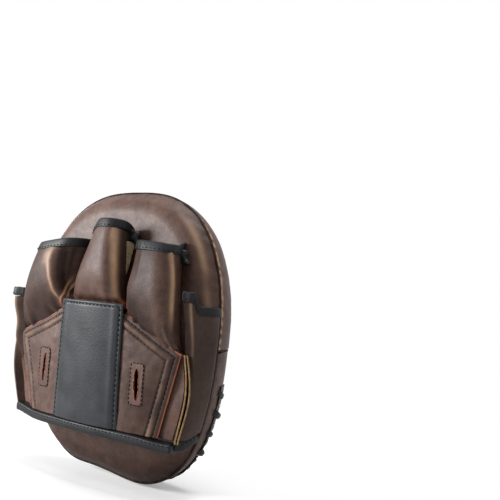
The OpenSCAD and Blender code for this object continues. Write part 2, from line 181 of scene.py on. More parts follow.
def reach(angle):
    """Length from the middle of the widest line to the back seam: a superellipse, squarer at the
    wrist end, found by halving."""
    up = np.sin(angle) > 0
    side, end = np.where(up, *side_power), np.where(up, *end_power)
    tall = np.where(up, half_height - widest, half_height + widest)
    low, high = np.zeros(angle.shape), np.full(angle.shape, 2 * half_height)
    for _ in range(24):
        try_at = (low + high) / 2
        inside = (np.abs(try_at * np.cos(angle)) / half_width) ** side \
            + (np.abs(try_at * np.sin(angle)) / tall) ** end < 1
        low, high = np.where(inside, try_at, low), np.where(inside, high, try_at)
    return low


def half_at(z):
    """Half the pad's width at height z, from the same superellipse."""
    up = z > widest
    share = np.abs(z - widest) / np.where(up, half_height - widest, half_height + widest)
    share = np.clip(1 - share ** np.where(up, *end_power), 0, 1)
    return half_width * share ** (1 / np.where(up, *side_power))


def pad(angle, place, depth=0.0):
    """Point of the pad. place runs along its section: -2 in the middle of the back, 0 at the back
    seam, 2 in the middle of the face. The back's border is a power curve, the face's a quarter
    ellipse, and depth goes in from the surface."""
    angle, place, depth = np.broadcast_arrays(angle, place, depth)
    zones = [place < -1, place < 0, place < 1]
    quarter = np.pi / 2 * np.clip(place, 0, 1)
    inset = np.select(zones, [back_roll - (place + 1) * (half_width - back_roll) * 0.98,
                              depth - (back_roll - depth) * place,
                              depth + (front_roll - depth) * (1 - np.cos(quarter))],
                      front_roll + (place - 1) * (half_width - front_roll) * 0.98)
    y = np.select(zones, [depth, depth + (back_depth - depth) * np.clip(1 + place, 0, 1) ** 2.2,
                          back_depth + (front_depth - depth) * np.sin(quarter)],
                  back_depth + front_depth - depth + dome * (1 - (2 - place) ** 2))
    out = reach(angle)
    x = out * np.cos(angle) * (1 - inset / half_width)
    z = (widest + out * np.sin(angle)) * (1 - inset / half_height)
    return np.stack([x, y + bend(z), z + slump(x) * ease(-z, 0.07, 0.12)], -1)


def slump(x):
    """How far the soft wrist end is pushed in across its width, by standing on it: three bell
    curves, the last one a slight bulge outwards."""
    return 0.0042 * bump(x, -0.022, 0.032) + 0.0030 * bump(x, -0.078, 0.022) \
        - 0.0012 * bump(x, 0.038, 0.020)


def relief(points, size, seed):
    """Soft uneven relief between about -1 and 1: the mean of 16 sine waves of about this size, in
    random directions fixed by the seed."""
    draw = np.random.default_rng(seed)
    way = draw.normal(size=(3, 16))
    way /= np.linalg.norm(way, axis=0) * size * draw.uniform(0.7, 1.6, 16)
    return 2.2 * np.sin(2 * np.pi * (points @ way) + draw.uniform(0, 2 * np.pi, 16)).mean(-1)


def bump(value, middle, width):
    """Bell curve of height 1 round the middle: exp of minus the squared distance in widths."""
    return np.exp(-((value - middle) / width) ** 2)


def ease(value, low, high):
    """Smooth step from 0 at low to 1 at high: 3t^2 - 2t^3."""
    share = np.clip((value - low) / (high - low), 0, 1)
    return share * share * (3 - 2 * share)


def normals(points, around=False):
    """Unit normals of a grid: row direction crossed with column direction."""
    wide = np.concatenate([points[-1:], points, points[:1]]) if around else points
    down, over = np.gradient(wide, axis=0), np.gradient(wide, axis=1)
    normal = np.cross(down, over)
    normal = normal[1:-1] if around else normal
    return normal / np.maximum(np.linalg.norm(normal, axis=-1, keepdims=True), 1e-12)


def lifted(points, amount, around=False):
    """The grid moved along its normals by an amount for each point."""
    return points + normals(points, around) * np.asarray(amount)[..., None]


def surface(name, points, around=False, ring=False, poles=(), hole=None, **tones):
    """Mesh of a grid points[row, column]. around joins the last row to the first and ring the last
    column to the first. poles closes the first (0) or last (-1) column to its middle point, and
    hole leaves out the faces where it is true. Tones are per-point shares, kept as attributes for
    the leather to read."""
    rows, columns = points.shape[:2]
    grid = np.arange(rows * columns).reshape(rows, columns)
    grid = np.concatenate([grid, grid[:1]]) if around else grid
    grid = np.concatenate([grid, grid[:, :1]], 1) if ring else grid
    quads = np.stack([grid[:-1, :-1], grid[1:, :-1], grid[1:, 1:], grid[:-1, 1:]], -1)
    faces = (quads if hole is None else quads[~hole[:-1, :-1]]).reshape(-1, 4).tolist()
    corners = [points.reshape(-1, 3)]
    for count, pole in enumerate(poles):
        edge = grid[:, pole]
        fan = np.stack([edge[:-1], edge[1:], np.full(len(edge) - 1, rows * columns + count)], -1)
        faces += (fan[:, ::-1] if pole == 0 else fan).tolist()
        corners.append(points[:, pole].mean(0)[None])
    mesh = bpy.data.meshes.new(name)
    mesh.from_pydata(np.concatenate(corners).tolist(), [], faces)
    for tone, share in tones.items():
        share = np.broadcast_to(share, (rows, columns))
        whole = [share.ravel()] + [share[:, pole].mean(keepdims=True) for pole in poles]
        values = np.concatenate(whole).astype(np.float32)
        mesh.attributes.new(tone, "FLOAT", "POINT").data.foreach_set("value", values)
    mesh.shade_smooth()
    piece = bpy.data.objects.new(name, mesh)
    bpy.context.collection.objects.link(piece)
    return piece


def pull_up_leather(name, deep, body, pale, rough):
    """Waxed pull-up cowhide, tumbled: broad paler patches where it has been stretched, tan where a
    fold is worn, and a fine pebble grain drawn slightly coarser than real. The wax finish gives it
    a broad soft gloss that greys the brown. The shade tone paints shade in: nearly black, with a
    duller gloss."""
    material, tree, place = new_material(name)
    # Stretched patches of 50 mm, a mottle of 9 mm and specks of 1.8 mm.
    patches, mottle, specks = (
        add(tree, "ShaderNodeTexNoise", {"Vector": place, "Scale": 1 / size, "Detail": detail,
                                         "Roughness": broken}).outputs[0]
        for size, detail, broken in ((0.05, 4, 0.6), (0.009, 5, 0.7), (0.0018, 3, 0.7)))
    shade, wear, raw = (add(tree, "ShaderNodeAttribute", attribute_name=tone).outputs["Fac"]
                        for tone in ("shade", "wear", "raw"))
    rubbed = add(tree, "ShaderNodeMath", {0: mottle, 1: 0.5}, operation="ADD").outputs[0]
    worn = add(tree, "ShaderNodeMath", {0: wear, 1: rubbed}, operation="MULTIPLY", use_clamp=True).outputs[0]
    shares = [add(tree, "ShaderNodeMapRange", {"Value": noise, "From Min": low, "From Max": high,
                                               "To Max": most}).outputs[0]
              for noise, low, high, most in ((patches, 0.38, 0.66, 1.0), (mottle, 0.42, 0.68, 0.6),
                                             (specks, 0.52, 0.72, 0.45))]
    # The body colour, then one over the other: patches, mottle, specks, painted shade (#150d0a), wear and raw
    # hide.
    tint = linear(body)
    for share, colour in zip(shares + [shade, worn, raw],
                             (pale, deep, deep, "#150d0a", "#c8a280", "#a8674c")):
        tint = add(tree, "ShaderNodeMix", {0: share, 6: tint, 7: linear(colour)},
                   data_type="RGBA").outputs[2]
    gloss = add(tree, "ShaderNodeMapRange", {"Value": mottle, "From Min": 0.3, "From Max": 0.7,
                                             "To Min": rough - 0.03, "To Max": rough + 0.04}).outputs[0]
    pebble = add(tree, "ShaderNodeTexVoronoi", {"Vector": place, "Scale": 1 / 0.0014},
                 feature="SMOOTH_F1").outputs[0]
    height = add(tree, "ShaderNodeMath", {0: mottle, 1: 0.15, 2: pebble}, operation="MULTIPLY_ADD").outputs[0]
    grain = add(tree, "ShaderNodeBump", {"Height": height, "Strength": 0.25, "Distance": 0.0004}).outputs[0]
    # Painted shade also lowers the gloss: specular level 0.29, down to 0.07 at full shade.
    dull = add(tree, "ShaderNodeMath", {0: shade, 1: -0.22, 2: 0.29}, operation="MULTIPLY_ADD").outputs[0]
    shader = add(tree, "ShaderNodeBsdfPrincipled", {
        "Base Color": tint, "Roughness": gloss, "Normal": grain, "Specular IOR Level": dull})
    add(tree, "ShaderNodeOutputMaterial", {"Surface": shader.outputs[0]})
    return material


def cut_edge(name, light, dark):
    """Raw cut edge or flesh side of the hide: matt, fibrous and uneven in colour."""
    material, tree, place = new_material(name)
    fibre = add(tree, "ShaderNodeTexNoise", {"Vector": place, "Scale": 1 / 0.0025, "Detail": 4,
                                             "Roughness": 0.7}).outputs[0]
    share = add(tree, "ShaderNodeMapRange", {"Value": fibre, "From Min": 0.35, "From Max": 0.65}).outputs[0]
    tint = add(tree, "ShaderNodeMix", {0: share, 6: linear(light), 7: linear(dark)},
               data_type="RGBA").outputs[2]
    nap = add(tree, "ShaderNodeBump", {"Height": fibre, "Strength": 0.5, "Distance": 0.0005}).outputs[0]
    shader = add(tree, "ShaderNodeBsdfPrincipled", {"Base Color": tint, "Roughness": 0.85, "Normal": nap,
                                                    "Specular IOR Level": 0.25})
    add(tree, "ShaderNodeOutputMaterial", {"Surface": shader.outputs[0]})
    return material


brown = pull_up_leather("brown pull-up leather", "#2f1e18", "#4e352b", "#694f45", 0.50)
# A darker copy of the same leather for the side walls and flanges: painted shade, for their sides turned away
# from the light.
shaded_brown = pull_up_leather("shaded brown pull-up leather", "#251812", "#38261e", "#49342b", 0.50)
russet_edge = cut_edge("russet cut edge", "#b0735a", "#85503a")
flesh = cut_edge("flesh side of the hide", "#94805c", "#6b593e")


def skin(piece, thickness, *finishes):
    """Gives the piece its finishes and, below its outer face, the leather's thickness. The second
    finish is the cut edge's and the third the inner face's."""
    for finish in finishes:
        piece.data.materials.append(finish)
    if thickness:
        hide = piece.modifiers.new("thickness", "SOLIDIFY")
        hide.thickness, hide.offset = thickness, -1
        hide.material_offset_rim, hide.material_offset = 1, min(2, len(finishes) - 1)
    return piece


turn = np.linspace(0, 2 * np.pi, 481)[:-1, None]
place = np.concatenate([np.linspace(-0.02, -0.3, 22), np.linspace(-0.32, -1, 22), np.linspace(-1.05, -2, 26)])
flat = pad(turn, place)
inset = (-place * back_roll)[None]                      # distance in from the seam, up to the flat
pucker = relief(flat, 0.009, 3) * np.exp(-inset / 0.006) * 0.0005
slack = relief(flat, 0.055, 4) * 0.0006 * ease(inset, 0.002, 0.02)
ridge = 0.0011 * bump(inset, 0.0100, 0.0042) * (0.6 + 0.4 * relief(flat, 0.06, 2))
back_points = lifted(flat, pucker + slack + ridge - 0.0003 * np.exp(-inset / 0.0016), around=True)
wear = 0.5 * bump(inset, 0.0070, 0.0022) * ease(np.cos(turn), 0.45, 0.80) * ease(np.sin(turn), -0.15, 0.2) \
    * np.clip(0.9 + relief(flat, 0.03, 5), 0, 1)
# Painted shade along the seam's groove and over the wrist end, which faces down.
back_panel = surface("back_panel_leather", back_points, around=True, poles=(-1,), wear=wear,
                     shade=0.5 * np.exp(-inset / 0.0015) + 0.6 * ease(-back_points[..., 2], 0.078, 0.108))
skin(back_panel, leather, brown, russet_edge, flesh)
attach(back_panel, "mitt")
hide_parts("back_panel", "back_board", "foam_core")


# ---- Pad: striking face and gusset ----
# The face is one hide over firm foam. Round the finger end it meets a gusset strip at the face
# seam; past the ends of that seam it reaches down to the back seam itself.
seam_place, seam_end = 0.62, math.radians(-8.5)


def face_edge_place(turn):
    """Place of the face's edge: on the face seam, or past its ends at the back seam."""
    above = np.arcsin(np.sin(turn)) - seam_end
    return 0.02 + (seam_place - 0.02) * np.clip(above / math.radians(1.5) + 1, 0, 1)


face_edge = face_edge_place(turn)
share = np.concatenate([np.linspace(0, 0.25, 30), np.linspace(0.27, 1, 34)])[::-1]
place = np.where(share < 0.5, face_edge + (1 - face_edge) * share / 0.5, 1 + (share - 0.5) / 0.5)
flat = pad(turn, place)
from_seam = (place - face_edge) * 0.04
pucker = relief(flat, 0.011, 6) * np.exp(-from_seam / 0.006) * 0.0005
slack = relief(flat, 0.07, 7) * 0.0007 * ease(from_seam, 0.002, 0.02)
points = lifted(flat, pucker + slack - 0.0003 * np.exp(-from_seam / 0.0014), around=True)
wear = 0.16 * bump(place, 0.95, 0.3) * np.clip(relief(flat, 0.04, 8) + 0.6, 0, 1)
# Painted shade along the face seam's groove.
face = surface("striking_face_leather", points, around=True, poles=(0,), wear=wear,
               shade=0.5 * np.exp(-from_seam / 0.0015))
skin(face, leather, brown, russet_edge, flesh)
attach(face, "mitt")
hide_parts("face_panel", "strike_foam")

gusset_turn = np.linspace(seam_end - 0.006, math.pi - seam_end + 0.006, 280)[:, None]
edge = face_edge_place(gusset_turn) - 0.008
share = np.linspace(1, 0, 30)[None]
place = 0.02 + (edge - 0.02) * share
flat = pad(gusset_turn, place)
near_edge = np.minimum(share, 1 - share) * 0.028
amount = relief(flat, 0.010, 9) * np.exp(-near_edge / 0.005) * 0.0005 + relief(flat, 0.05, 10) * 0.0004
broken = np.clip(0.8 + 1.5 * relief(flat, 0.006, 18), 0, 1)   # wear that comes and goes along the seam
wear = 1.3 * bump(share, 0.05, 0.05) * broken * ease(np.cos(gusset_turn), 0.5, 0.9)
# Painted shade along the gusset's seams.
gusset = surface("gusset_leather", lifted(flat, amount - 0.0003 * np.exp(-near_edge / 0.0014)),
                 wear=np.clip(wear, 0, 1), shade=0.4 * np.exp(-near_edge / 0.0015))
skin(gusset, leather, brown, russet_edge, flesh)
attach(gusset, "mitt")
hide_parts("top_gusset")


# ---- Seam welts ----
# The hides are sewn together inside out, so that each seam shows as a narrow dark ridge of folded
# edges: round the back, round the face, and across the gusset at its two ends.
def tube(name, path, over, out, half_over, half_out, sides=12, power=1.0, ring=False, **tones):
    """A closed cord or strip along a path. Its section is a superellipse, half_over wide along
    over and half_out along out; power below 1 makes it squarer."""
    round_it = np.linspace(0, 2 * np.pi, sides + 1)[:-1, None, None]
    c, s = np.cos(round_it), np.sin(round_it)
    c, s = np.sign(c) * np.abs(c) ** power, np.sign(s) * np.abs(s) ** power
    half_over, half_out = (np.broadcast_to(v, len(path))[None, :, None] for v in (half_over, half_out))
    points = path[None] + c * half_over * over[None] + s * half_out * out[None]
    facing = (normals(points, around=True) * (points - path[None])).sum()
    points = points[::-1] if facing < 0 else points
    return surface(name, points, around=True, ring=ring, poles=() if ring else (0, -1), **tones)


def along(path):
    """Unit direction of a path at each point."""
    way = np.gradient(path, axis=0)
    return way / np.linalg.norm(way, axis=-1, keepdims=True)


def unit(vectors):
    """The vectors divided by their lengths."""
    return vectors / np.linalg.norm(vectors, axis=-1, keepdims=True)


dark_edge = cut_edge("dark seam edge", "#33221a", "#170f0b")
turn_round = np.linspace(0, 2 * np.pi, 721)[:-1]
seam = pad(turn_round, 0.0, 0.0001)
radial = np.stack([np.cos(turn_round), 0 * turn_round, np.sin(turn_round)], -1)
fore = np.zeros_like(radial) + [0, 1, 0]
uneven = relief(seam, 0.02, 12)
welt = tube("back_seam_edges", seam, fore, radial, 0.0010 + 0.0002 * uneven, 0.0006 + 0.0001 * uneven[::-1],
            sides=10, power=0.7, ring=True)
skin(welt, 0, dark_edge)
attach(welt, "mitt")
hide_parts("back_seam_welt")

seam_angles = np.linspace(seam_end, math.pi - seam_end, 460)
seam = pad(seam_angles, seam_place, 0.0001)
radial = np.stack([np.cos(seam_angles), 0 * seam_angles, np.sin(seam_angles)], -1)
out = unit(pad(seam_angles, seam_place, -0.01) - seam)
uneven = relief(seam, 0.02, 13)
face_welt = tube("face_seam_edges", seam, unit(np.cross(along(seam), out)), out,
                 0.0010 + 0.0002 * uneven, 0.0006, sides=10, power=0.7)
skin(face_welt, 0, dark_edge)
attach(face_welt, "mitt")
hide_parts("face_seam_welt")

for turned, side in ((seam_end - 0.012, "right"), (math.pi - seam_end + 0.012, "left")):
    run = np.linspace(0.0, seam_place, 40)
    path = pad(turned, run, 0.0002)
    out = unit(pad(turned, run, -0.01) - path)
    joint = tube(f"{side}_joint_seam", path, unit(np.cross(along(path), out)), out, 0.0008, 0.0005,
                 sides=10, power=0.7)
    skin(joint, 0, dark_edge)
    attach(joint, "mitt")


# ---- Lacing ----
# Round the wrist end the hide is slit open and laced shut over a strip of black leather. The flat
# black lace is tight in the middle and stands up at both ends, with an eyelet between crossings.
def smooth_black(name, light, dark, rough):
    """Smooth black finished cowhide: nearly even, with a very fine grain and a cool soft gloss."""
    material, tree, place = new_material(name)
    cloudy = add(tree, "ShaderNodeTexNoise", {"Vector": place, "Scale": 1 / 0.02, "Detail": 4}).outputs[0]
    share = add(tree, "ShaderNodeMapRange", {"Value": cloudy, "From Min": 0.35, "From Max": 0.65}).outputs[0]
    tint = add(tree, "ShaderNodeMix", {0: share, 6: linear(dark), 7: linear(light)},
               data_type="RGBA").outputs[2]
    pebble = add(tree, "ShaderNodeTexVoronoi", {"Vector": place, "Scale": 1 / 0.0011},
                 feature="SMOOTH_F1").outputs[0]
    grain = add(tree, "ShaderNodeBump", {"Height": pebble, "Strength": 0.25, "Distance": 0.0004}).outputs[0]
    gloss = add(tree, "ShaderNodeMapRange", {"Value": cloudy, "From Min": 0.3, "From Max": 0.7,
                                             "To Min": rough - 0.05, "To Max": rough + 0.07}).outputs[0]
    shader = add(tree, "ShaderNodeBsdfPrincipled", {"Base Color": tint, "Roughness": gloss, "Normal": grain,
                                                    "Specular IOR Level": 0.25})
    add(tree, "ShaderNodeOutputMaterial", {"Surface": shader.outputs[0]})
    return material


black = smooth_black("smooth black leather", "#17181b", "#0e0f11", 0.46)
lace_start, lace_end = np.radians(-24.0), np.radians(-156.0)
strip_turn = np.linspace(lace_end, lace_start, 300)[:, None]
across = np.linspace(0.46, 0.26, 16)[None]
edge_share = np.minimum(across - 0.26, 0.46 - across) / 0.1
flat = pad(strip_turn, across, -0.0015)
sag = -0.0006 * ease(edge_share, 0, 1) + 0.0004 * relief(flat, 0.008, 14)
lacing_strip = surface("lacing_strip", lifted(flat, sag))
skin(lacing_strip, 0.0012, black, black, black)
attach(lacing_strip, "mitt")
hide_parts("lacing_gusset")

crossings, lace_half = 17, 0.002
end_slack = (0.6, 1.0, 0.7, 0.9, 0.3)       # how far each crossing stands up, counted from an end
spot = lace_start + (lace_end - lace_start) * (np.arange(crossings) + 0.5) / crossings
for number, angle in enumerate(spot):
    run = np.linspace(0, 1, 14)
    from_end = min(number, crossings - 1 - number)
    loose = end_slack[from_end] if from_end < len(end_slack) else 0
    lift = 0.0030 * loose - 0.0003
    slant, place = angle + np.radians(1.5 - 3 * run), 0.22 + 0.28 * run
    path = pad(slant, place, -0.0006 - lift * np.sin(np.pi * run) ** 0.5)
    out = unit(pad(slant, place, -0.012) - path)
    wide = lace_half * (0.85 + 0.15 * np.cos(2 * np.pi * run))
    lace = tube(f"lace_{number}", path, unit(np.cross(along(path), out)), out, wide * (1 + 0.4 * loose),
                0.0007 + 0.0006 * loose, power=0.75)
    skin(lace, 0, black)
    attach(lace, "mitt")
    if number == 0:
        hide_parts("lace")

# Nickel-plated brass, pressed and handled: bright, with duller spots.
nickel, tree, place = new_material("nickel-plated brass")
dull = add(tree, "ShaderNodeTexNoise", {"Vector": place, "Scale": 1 / 0.002, "Detail": 3}).outputs[0]
tint = add(tree, "ShaderNodeMix", {0: dull, 6: linear("#9a968c"), 7: linear("#d3cfc4")}, data_type="RGBA")
gloss = add(tree, "ShaderNodeMapRange", {"Value": dull, "To Min": 0.25, "To Max": 0.45})
shader = add(tree, "ShaderNodeBsdfPrincipled", {"Base Color": tint.outputs[2], "Metallic": 1.0,
                                                "Roughness": gloss.outputs[0]})
add(tree, "ShaderNodeOutputMaterial", {"Surface": shader.outputs[0]})
for number, angle in enumerate((spot[:-1] + spot[1:]) / 2):
    run = np.linspace(0, 2 * np.pi, 17)[:-1]
    foot = pad(np.array([angle]), 0.36, -0.0014)[0]
    out = unit(pad(np.array([angle]), 0.36, -0.02)[0] - foot)
    over = unit(np.cross(out, [0, 1, 0]))
    fore = np.cross(out, over)
    rim = foot + 0.0011 * (np.cos(run)[:, None] * over + np.sin(run)[:, None] * fore)
    eyelet = tube(f"eyelet_{number}", rim, unit(rim - foot), np.zeros_like(rim) + out, 0.0005, 0.0007,
                  sides=8, ring=True)
    skin(eyelet, 0, nickel)
    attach(eyelet, "mitt")
    if number == 0:
        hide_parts("lace_rivets")


# ---- Hand cover ----
# The glove's back: a padded upper layer of brown hide, cut with two slopes and left raw, over a
# wider lower layer. Two rows of black stitching follow its edge, and each half has a faced slit.

# Black waxed linen thread, lightly twisted: matt and uneven.
waxed_thread, tree, place = new_material("black waxed thread")
twist = add(tree, "ShaderNodeTexNoise", {"Vector": place, "Scale": 1 / 0.0006, "Detail": 2}).outputs[0]
tint = add(tree, "ShaderNodeMix", {0: twist, 6: linear("#0c0c0e"), 7: linear("#26262a")}, data_type="RGBA")
strand = add(tree, "ShaderNodeBump", {"Height": twist, "Strength": 0.5, "Distance": 0.0002})
shader = add(tree, "ShaderNodeBsdfPrincipled", {"Base Color": tint.outputs[2], "Roughness": 0.6,
                                                "Normal": strand.outputs[0], "Specular IOR Level": 0.1})
add(tree, "ShaderNodeOutputMaterial", {"Surface": shader.outputs[0]})
thread, sunk = 0.0004, 0.0001                # the thread's half thickness, and its depth in the hide


def stitches(name, path, out, pitch=0.0040, share=0.68):
    """Row of stitches along a path on a surface with normals out: at each pitch a grain of thread
    with five sections, thickest in the middle, which lies on the surface for a share of the pitch."""
    steps = np.linalg.norm(np.diff(path, axis=0), axis=1)
    length = np.concatenate([[0], np.cumsum(steps)])
    count = max(1, int(length[-1] / pitch))
    at = (np.arange(count) + 0.5) * length[-1] / count
    centre, lift, way = (np.stack([np.interp(at, length, v[:, k]) for k in range(3)], -1)
                         for v in (path, out, along(path)))
    lift, way = unit(lift), unit(way)
    axes = [v[:, None, None] for v in (way, np.cross(way, lift), lift)]
    lay = np.array([-1, -0.7, 0, 0.7, 1])[:, None]
    girth = np.array([0.05, 0.75, 1, 0.75, 0.05])[:, None]
    turn = np.linspace(0, 2 * np.pi, 7)[None, :-1]
    parts = [lay * pitch * share / 2 + 0 * turn, girth * thread * 1.2 * np.cos(turn),
             girth * thread * np.sin(turn) + thread * 0.5 * girth - sunk - (1 - girth) * thread * 0.8]
    points = centre[:, None, None] + sum(v * p[None, :, :, None] for v, p in zip(axes, parts))
    grid = np.arange(30).reshape(5, 6)
    grid = np.concatenate([grid, grid[:, :1]], 1)
    quads = np.stack([grid[:-1, :-1], grid[:-1, 1:], grid[1:, 1:], grid[1:, :-1]], -1).reshape(-1, 4)
    grain = quads.tolist() + [list(range(6))[::-1], list(range(24, 30))]
    faces = [[start + k for k in face] for start in range(0, count * 30, 30) for face in grain]
    mesh = bpy.data.meshes.new(name)
    mesh.from_pydata(points.reshape(-1, 3).tolist(), [], faces)
    mesh.shade_smooth()
    mesh.materials.append(waxed_thread)
    piece = bpy.data.objects.new(name, mesh)
    bpy.context.collection.objects.link(piece)
    return piece


arch, lean, peak = 0.590, math.radians(3.6), 0.025
body_top, upper_top, band_top = 0.0173, 0.0222, 0.0243     # heights of the layers over the pocket
shoulder, shoulder_z, corner, corner_z = 0.093, -0.010, 0.039, 0.017     # ends of the sloping edge
hem_half, hem_top, hem_low = 0.077, -0.0777, -0.086        # the hem: half-width, and its binding's edges


def arched(x, z, height):
    """Point of the glove's back at a height over the pocket: a cylinder across the palm that leans
    towards the pad at the hem. Its left side is stretched by use: it reaches further out and
    sags a little towards the pad."""
    x = x - 0.0085 * ease(-x, 0.050, 0.090) * bump(z, -0.010, 0.045)
    y = (arch - np.sqrt((arch + height) ** 2 - x ** 2)) / math.cos(lean) + (peak - z) * math.tan(lean)
    y = y + 0.0012 * ease(-x, 0.030, 0.095)
    return np.stack(np.broadcast_arrays(x, y, z), -1)


def outwards(x):
    """Unit directions out of the glove's back at each x: out from the cylinder, with its lean."""
    return unit(np.stack([x / arch, np.full(len(x), -1.0), np.full(len(x), -math.tan(lean))], -1))


def slope_z(x):
    """Height of the sloping upper edge at x."""
    return corner_z - (corner_z - shoulder_z) * np.clip((np.abs(x) - corner) / (shoulder - corner), 0, 1)


slope_out, side_out = (0.447, 0.894), (0.973, -0.230)      # unit directions out of the cut edges
outer_row, inner_row, rib = 0.0045, 0.0110, 0.0078         # distances in from the cut edge


def edge_distance(x, z):
    """Distance in from the upper layer's cut edge: the nearer of its slope and its side."""
    x = np.abs(x)
    to_slope = -((x - corner) * slope_out[0] + (z - corner_z) * slope_out[1])
    to_side = -((x - shoulder) * side_out[0] + (z - shoulder_z) * side_out[1])
    return np.minimum(to_slope, to_side)


slit_x, slit_z, slit_tall, slit_wide, slit_lean = 0.055, -0.038, 0.0130, 0.0028, -0.05


def cover_height(x, z):
    """Height of the upper layer: pinched at its edge, grooved along its two stitch rows, with a
    padded rib between them and a soft swelling inside."""
    d = edge_distance(x, z)
    pinch = -0.0024 * np.exp(-np.clip(d, 0, None) / 0.0045)
    rows = -0.0006 * (bump(d, outer_row, 0.0009) + bump(d, inner_row, 0.0009)) \
        + 0.0005 * bump(d, rib, 0.0018)
    swell = 0.0009 * ease(d, 0.0115, 0.024) * ease(np.abs(x), 0.038, 0.046)
    return upper_top + pinch + rows + swell


across, rise = np.meshgrid(np.linspace(-1, 1, 341), np.linspace(0, 1, 181), indexing="ij")
x = across * (hem_half + (shoulder - hem_half) * rise)
z = hem_top + rise * (slope_z(across * shoulder) - hem_top)
points = arched(x, z, cover_height(x, z))
points = lifted(points, 0.0003 * relief(points, 0.03, 21) + 0.00015 * relief(points, 0.008, 22))
d = edge_distance(x, z)
slant = np.abs(x) - slit_x - slit_lean * (z - slit_z)
hole = (slant / slit_wide) ** 2 + ((z - slit_z) / (slit_tall + 0.0005)) ** 2 < 1
# Painted shade in the two stitch grooves and over the right half, where the key light's sheen falls off.
cover = surface("hand_cover_leather", points, hole=hole, raw=ease(-d, -0.0012, -0.0004),
                wear=0.3 * bump(d, rib, 0.002) * np.clip(relief(points, 0.03, 23) + 0.2, 0, 1),
                shade=0.35 * (bump(d, outer_row, 0.0008) + bump(d, inner_row, 0.0008))
                + 0.45 * ease(x, 0.030, 0.046))
skin(cover, leather, brown, russet_edge, flesh)
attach(cover, "mitt")
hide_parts("hand_cover", "cover_padding")


def flange_root(run):
    """Half-width of the lower layer, from the hem (run 0) to the shoulder (run 1): a skewed bow."""
    return 0.0885 + 0.0030 * run + 0.0055 * np.sin(np.pi * np.clip(run, 0, 1) ** 1.15)


z = hem_top + rise * (slope_z(across * 0.0915) - 0.0008 - hem_top)
lower_x = across * flange_root((z - hem_top) / (shoulder_z - hem_top))
points = arched(lower_x, z, body_top)
fold = 0.0008 * relief(points, 0.025, 24) * ease(np.abs(lower_x), 0.075, 0.084)
# Painted shade where the lower layer shows through the slits.
under_slit = bump(np.abs(lower_x), slit_x, 0.006) * bump(z, slit_z, 0.018)
lower = surface("cover_lower_leather", lifted(points, fold), shade=np.clip(1.2 * under_slit, 0, 1))
skin(lower, leather, brown, russet_edge, flesh)
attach(lower, "mitt")
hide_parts("cover_body")


def outline(turn, wide, tall, power):
    """Distance from the middle to the outline of a superellipse, in the direction turn."""
    return (np.abs(np.cos(turn) / wide) ** power + np.abs(np.sin(turn) / tall) ** power) ** (-1 / power)


for side, hand in ((-1, "left"), (1, "right")):
    turn = np.linspace(0, 2 * np.pi, 145)[:-1, None]
    box = outline(turn, 0.0075, 0.018, 8)                  # rounded rectangle
    gape = 0.0024 if side > 0 else 0.0018                  # the right slit stands further open
    lens = outline(turn, gape, slit_tall, 1.9) * (1 + 0.10 * np.sin(5 * turn + 1) + 0.07 * np.sin(11 * turn))
    share = np.concatenate([np.linspace(0, 0.82, 16), np.linspace(0.85, 1, 8), np.ones(4)])[None]
    sink = np.concatenate([np.zeros(24), [0.0004, 0.0009, 0.0018, 0.0036]])[None]
    length = box + (lens - box) * share
    dz = length * np.sin(turn)
    dx = length * np.cos(turn) + slit_lean * dz * share
    fx, fz = slit_x + dx, slit_z + dz
    rim = bump(share, 0.97, 0.05)
    to_box = box - length
    height = cover_height(fx, fz) - 0.0007 + 0.0012 * ease(to_box, 0, 0.0014) + 0.0004 * rim - sink
    points = (arched(fx, fz, height) * [side, 1, 1])[::side]
    raw = np.broadcast_to(ease(share, 0.88, 0.94) * ease(-sink, -0.0010, -0.0004), length.shape)
    # Painted shade down inside the slit and along the facing's edge.
    dark = np.clip(ease(sink, 0.0006, 0.0012) + bump(to_box, 0.0, 0.0010), 0, 1)
    facing = surface(f"{hand}_slit_facing", points, around=True, raw=raw[::side], shade=dark[::side])
    skin(facing, 0, brown)
    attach(facing, "mitt")
    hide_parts(f"{hand}_slot_facing")

    turn = np.linspace(0, 2 * np.pi, 400)
    box = outline(turn, 0.0063, 0.0168, 10)
    bx, bz = slit_x + box * np.cos(turn), slit_z + box * np.sin(turn)
    path = arched(side * bx, bz, cover_height(bx, bz) + 0.0006)
    row = stitches(f"{hand}_slit_stitches", path, outwards(path[:, 0]), pitch=0.0034, share=0.86)
    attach(row, "mitt")
    for count, deep in enumerate((outer_row, inner_row)):
        top_x = np.linspace(corner - 0.001, shoulder - deep * 0.62 - 0.0005 - deep * 0.5, 80)
        slope_row = np.stack([top_x, corner_z - 0.5 * (top_x - corner) - deep * 1.118], -1)
        low = np.array([hem_half - deep * 1.028, hem_top + 0.001])
        run = np.linspace(0, 1, 90)[1:, None]
        rows_at = np.concatenate([slope_row, slope_row[-1] + (low - slope_row[-1]) * run])
        path = arched(side * rows_at[:, 0], rows_at[:, 1], cover_height(rows_at[:, 0], rows_at[:, 1]))
        row = stitches(f"{hand}_cover_stitches_{count}", path, outwards(path[:, 0]), pitch=0.0042)
        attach(row, "mitt")


